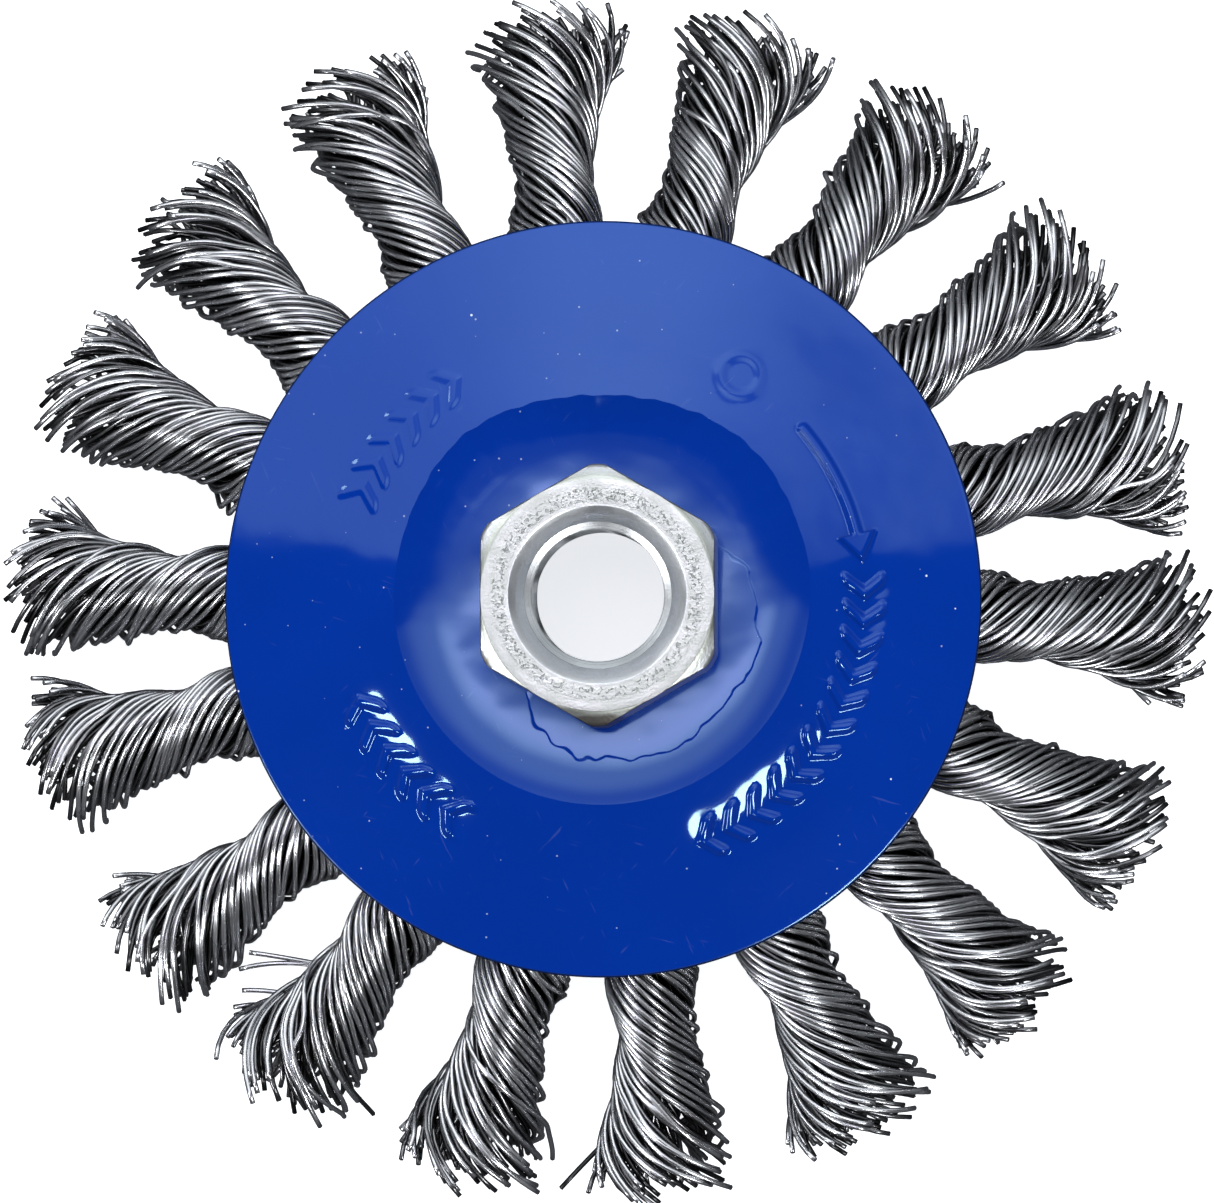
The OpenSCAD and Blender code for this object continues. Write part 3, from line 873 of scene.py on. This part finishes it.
def zinc_plate():
    """Pale zinc plating on turned steel: grainy on the face, with tool marks and a few stains. The
    countersunk mouth and bore get a lighter colour as a painted highlight, and the lower side of the
    thread's first turn a dark colour as a painted shade."""
    finish, tree, shader, place = new_finish("zinc")
    parts = add(tree, "SeparateXYZ", {"Vector": place}).outputs
    flat, radius = off_axis(tree, place)
    uneven = shared(tree, UNEVEN, {"Place": place, "Size": 2.2})
    hairs = shared(tree, HAIRLINES, {"Place": place, "Spacing": 0.4, "Amount": 0.6})["Mask"]
    dust = shared(tree, DUST, {"Place": place, "Spacing": 0.34, "Size": 0.5, "Share": 0.6})["Mask"]
    on_face = between(tree, parts["Z"], (NUT_TOP - 0.48) * MM, (NUT_TOP - 0.08) * MM)
    past_mouth = between(tree, radius, MOUTH_R * MM, (MOUTH_R + 0.2) * MM)
    turn_shade = between(tree, parts["Z"], (NUT_TOP - 1.43) * MM, (NUT_TOP - 1.53) * MM)
    turn_shade = maths(tree, "MULTIPLY", turn_shade, between(tree, parts["Y"], 0.0, -4.5 * MM))
    colour = mixed(tree, uneven["Fine"], (0.50, 0.53, 0.56, 1), (0.62, 0.65, 0.68, 1))
    face = mixed(tree, uneven["Fine"], (0.42, 0.445, 0.42, 1), (0.53, 0.56, 0.53, 1))
    # A lighter colour in the mouth and bore, a painted highlight.
    mouth = mixed(tree, uneven["Fine"], (0.64, 0.67, 0.70, 1), (0.78, 0.81, 0.84, 1))
    # The lower side of the thread's first turn darkened, a painted shade.
    mouth = mixed(tree, maths(tree, "MULTIPLY", turn_shade, 0.75), mouth, (0.16, 0.18, 0.19, 1))
    colour = mixed(tree, maths(tree, "MULTIPLY", on_face, past_mouth), colour, face)
    colour = mixed(tree, past_mouth, mouth, colour)
    colour = zinc_stains(tree, uneven, radius, parts, colour)
    band, marks = face_grain(tree, flat, radius, dust)
    grainy = maths(tree, "MULTIPLY", band, on_face)
    pits = maths(tree, "MULTIPLY", marks, grainy)
    colour = mixed(tree, maths(tree, "MULTIPLY", pits, 0.6), colour, (0.16, 0.18, 0.19, 1))
    lathe = add(tree, "CombineXYZ", {"X": radius, "Y": parts["Z"]}).outputs[0]
    grain = maths(tree, "MULTIPLY", uneven["Fine"], maths(tree, "ADD", grainy, 1.0))
    normal = relief(tree, grain, 0.016)
    normal = relief(tree, noise(tree, lathe, 5200.0, 1.0), 0.006, normal)
    normal = relief(tree, maths(tree, "SUBTRACT", maths(tree, "MULTIPLY", hairs, -0.3), pits), 0.05, normal)
    fill(tree, shader, {
        "Base Color": colour,
        "Metallic": 1.0,
        "Roughness": maths(tree, "MULTIPLY_ADD", uneven["Broad"], 0.25, 0.24),
        "Normal": normal,
    })
    return finish


def wire_steel():
    """Bright drawn steel wire, each one a little darker or lighter, with uneven gloss. Each wire's tone also
    carries painted shade, so the wires deep in a knot come out darker.
    """
    finish, tree, shader, place = new_finish("wire")
    tone = add(tree, "Attribute", attribute_name="wire_tone_and_shade").outputs["Fac"]
    uneven = shared(tree, UNEVEN, {"Place": place, "Size": 5.0})
    # The tone carries each wire's painted shade, which darkens the wires deep in a knot.
    shade = maths(tree, "MULTIPLY", tone, maths(tree, "MULTIPLY_ADD", uneven["Broad"], 0.5, 0.75))
    colour = mixed(tree, shade, (0.0, 0.0, 0.0, 1), (0.62, 0.63, 0.66, 1))
    fill(tree, shader, {
        "Base Color": colour,
        "Metallic": 1.0,
        "Roughness": maths(tree, "MULTIPLY_ADD", uneven["Broad"], 0.14, 0.19),
        "Normal": relief(tree, uneven["Fine"], 0.0005),
    })
    return finish


def plain_steel():
    """Rolled steel of the carrier disc, with a dull film and fine scratches."""
    finish, tree, shader, place = new_finish("plain_steel")
    uneven = shared(tree, UNEVEN, {"Place": place, "Size": 6.0})
    hairs = shared(tree, HAIRLINES, {"Place": place, "Spacing": 1.0, "Amount": 0.7})["Mask"]
    colour = mixed(tree, uneven["Broad"], (0.30, 0.30, 0.31, 1), (0.50, 0.50, 0.51, 1))
    colour = mixed(tree, hairs, colour, (0.62, 0.62, 0.63, 1))
    fill(tree, shader, {
        "Base Color": colour,
        "Metallic": 1.0,
        "Roughness": maths(tree, "MULTIPLY_ADD", uneven["Fine"], 0.3, 0.3),
        "Normal": relief(tree, maths(tree, "SUBTRACT", uneven["Fine"], hairs), 0.01),
    })
    return finish


def pale_table():
    """Pale table top, lit so that it comes out white. In the steel's reflections it is dim, apart from a
    disc under the nut's bore. Where the camera looks through the bore, that disc's glow is cut a little, a
    painted shade under the nut."""
    finish, tree, shader, place = new_finish("pale_table")
    uneven = shared(tree, UNEVEN, {"Place": place, "Size": 60.0})
    colour = mixed(tree, uneven["Broad"], (0.86, 0.87, 0.89, 1), (0.90, 0.91, 0.93, 1))
    seen = add(tree, "LightPath").outputs["Is Camera Ray"]
    in_bore = between(tree, off_axis(tree, place)[1], (THREAD_R + 1.5) * MM, (THREAD_R + 0.5) * MM)
    seen = maths(tree, "MAXIMUM", seen, in_bore)
    glow = maths(tree, "MULTIPLY_ADD", seen, 0.82, 0.03)
    fill(tree, shader, {
        "Base Color": mixed(tree, seen, (0.04, 0.04, 0.045, 1), colour),
        "Roughness": 0.8,
        "Specular IOR Level": 0.1,
        "Emission Color": (0.96, 0.98, 1.0, 1),
        # The glow is cut a little in the disc under the bore, a painted shade under the nut.
        "Emission Strength": maths(tree, "MULTIPLY", glow, maths(tree, "MULTIPLY_ADD", in_bore, -0.13, 1.0)),
    })
    return finish


# Studio, with light in multiples of what makes a white sheet just white

PANEL = 2.6
PANEL_EDGE = 0.015
PANEL_BOW = 0.33
SOFT_MIDDLE = 0.04
SOFT_SIDES = 0.013
TOP_LAMP = 9.0
TOP_LAMP_AT = (-0.055, 0.05)
TOP_LAMP_REACH = 0.21
TOP_LAMP_FRONT = (0.029, 0.046)
SEAM_DIM = 0.65
TENT_TOP = 0.33
TENT_GAP = 0.03
TENT_RING = 0.2
FRONT_LAMP = 36.0
FRONT_LAMP_SIZE = (0.34, 0.13)
FILL = 0.92


def facing(place, aim, upward):
    """Matrix of something at place that looks at aim, its own Y towards upward."""
    back = (Vector(place) - Vector(aim)).normalized()
    right = Vector(upward).cross(back).normalized()
    up = back.cross(right)
    turn = Matrix((right, up, back)).transposed().to_4x4()
    return Matrix.Translation(place) @ turn


def soft_light(name, place, size, radiance, colour=(1, 1, 1)):
    """A soft panel of that size in metres, turned to the brush."""
    light = bpy.data.lights.new(name, "AREA")
    light.shape = "RECTANGLE"
    light.size, light.size_y = size
    light.energy = radiance * math.pi * size[0] * size[1]
    light.color = colour
    panel = bpy.data.objects.new(name, light)
    panel.matrix_world = facing(place, (0, 0, 0.02), (0, 0, 1))
    panel.visible_camera = False
    panel.visible_diffuse = False
    bpy.context.scene.collection.objects.link(panel)
    return panel


def room_light():
    """A light tent as the world, by direction: a soft panel above and behind the brush with a dim seam, a
    lamp over the brush, a pale ring low down all round, and a dark gap in front. The camera sees plain pale
    walls, and matt surfaces get even light from all sides as well."""
    world = bpy.data.worlds.new("light_tent")
    bpy.context.scene.world = world
    world.use_nodes = True
    tree = world.node_tree
    way = add(tree, "SeparateXYZ", {"Vector": add(tree, "TexCoord").outputs["Generated"]}).outputs
    across, along, high = way["X"], way["Y"], way["Z"]
    aside = maths(tree, "ABSOLUTE", across)
    edge = maths(tree, "MULTIPLY_ADD", maths(tree, "MULTIPLY", across, across), -PANEL_BOW, along)
    soft = between(tree, aside, 0.08, 0.45, SOFT_MIDDLE, SOFT_SIDES)
    from_edge = maths(tree, "DIVIDE", maths(tree, "SUBTRACT", edge, PANEL_EDGE), soft)
    panel = between(tree, from_edge, -1.0, 1.0, 0.0, PANEL)
    panel = maths(tree, "MULTIPLY", panel, between(tree, aside, 0.05, 0.5, 1.0, 0.55))
    panel = maths(tree, "MULTIPLY", panel, between(tree, high, 0.1, 0.75))
    seam = maths(tree, "MULTIPLY", between(tree, high, 0.95, 0.86), between(tree, high, 0.805, 0.835))
    panel = maths(tree, "MULTIPLY", panel, maths(tree, "MULTIPLY_ADD", seam, -SEAM_DIM, 1.0))
    gap = between(tree, high, 0.985, 0.998, TENT_GAP, TENT_TOP)
    ring = between(tree, high, 0.35, 0.08, 0.0, TENT_RING)
    ring = maths(tree, "MULTIPLY", ring, maths(tree, "MULTIPLY_ADD", along, 0.4, 1.0))
    light = maths(tree, "ADD", maths(tree, "MAXIMUM", panel, gap), ring)
    here = add(tree, "CombineXYZ", {"X": across, "Y": along}).outputs[0]
    lamp_at = add(tree, "CombineXYZ", {"X": TOP_LAMP_AT[0], "Y": TOP_LAMP_AT[1]}).outputs[0]
    from_lamp = add(tree, "VectorMath", {0: here, 1: lamp_at}, operation="DISTANCE").outputs["Value"]
    over = maths(tree, "MULTIPLY", between(tree, from_lamp, TOP_LAMP_REACH, 0.0),
                 between(tree, along, *TOP_LAMP_FRONT))
    over = maths(tree, "MULTIPLY", over, between(tree, high, 0.5, 0.6))
    light = maths(tree, "MULTIPLY_ADD", over, TOP_LAMP, light)
    seen = add(tree, "LightPath").outputs["Is Camera Ray"]
    colour = mixed(tree, over, (0.95, 0.98, 1.0, 1), (0.77, 0.63, 0.90, 1))
    colour = mixed(tree, seen, colour, (0.95, 0.96, 0.97, 1))
    diffuse = add(tree, "LightPath").outputs["Is Diffuse Ray"]
    light = maths(tree, "ADD", light, maths(tree, "MULTIPLY", diffuse, FILL))
    strength = maths(tree, "ADD", maths(tree, "MULTIPLY", light, maths(tree, "SUBTRACT", 1.0, seen)), seen)
    fill(tree, tree.nodes["Background"], {"Color": colour, "Strength": strength})


def studio():
    """A light tent, two low wide lamps in front, one behind on the left, and a white table."""
    table_mesh = bpy.data.meshes.new("pale_table")
    half = 12.0
    table_mesh.from_pydata([(-half, -half, 0), (half, -half, 0), (half, half, 0), (-half, half, 0)], [],
                           [(0, 1, 2, 3)])
    table_mesh.materials.append(pale_table())
    table = bpy.data.objects.new("pale_table", table_mesh)
    bpy.context.scene.collection.objects.link(table)
    soft_light("front_right_lamp", (0.43, -0.57, 0.72), FRONT_LAMP_SIZE, FRONT_LAMP)
    soft_light("front_left_lamp", (-0.64, -0.42, 0.66), FRONT_LAMP_SIZE, FRONT_LAMP)
    soft_light("left_lamp", (-0.75, 0.55, 0.60), (0.16, 0.20), 10.0)
    room_light()


def camera():
    """The photograph's viewpoint: far above the brush, a little to the right of it and in front."""
    shot = bpy.data.cameras.new("shot")
    height = 1.6
    aim = (-0.00014, 0.00016, 0.007)
    frame_width = 0.1156
    shot.lens = shot.sensor_width * (height - aim[2]) / frame_width
    shot.clip_start, shot.clip_end = 0.1, 100
    seen_from = bpy.data.objects.new("shot", shot)
    seen_from.matrix_world = facing((0.056, -0.042, height), aim, (0, 1, 0))
    bpy.context.scene.collection.objects.link(seen_from)
    bpy.context.scene.camera = seen_from
    bpy.context.scene.view_settings.view_transform = "Standard"
    bpy.context.scene.view_settings.look = "None"


camera()
studio()
paint = blue_paint()
wire = wire_steel()
pressed_cover(paint)
pressed_back(paint)
turned_nut(zinc_plate())
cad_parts["carrier_disc"].data.materials.clear()
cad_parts["carrier_disc"].data.materials.append(plain_steel())
for knot in range(KNOT_COUNT):
    wire_knot(knot, wire)
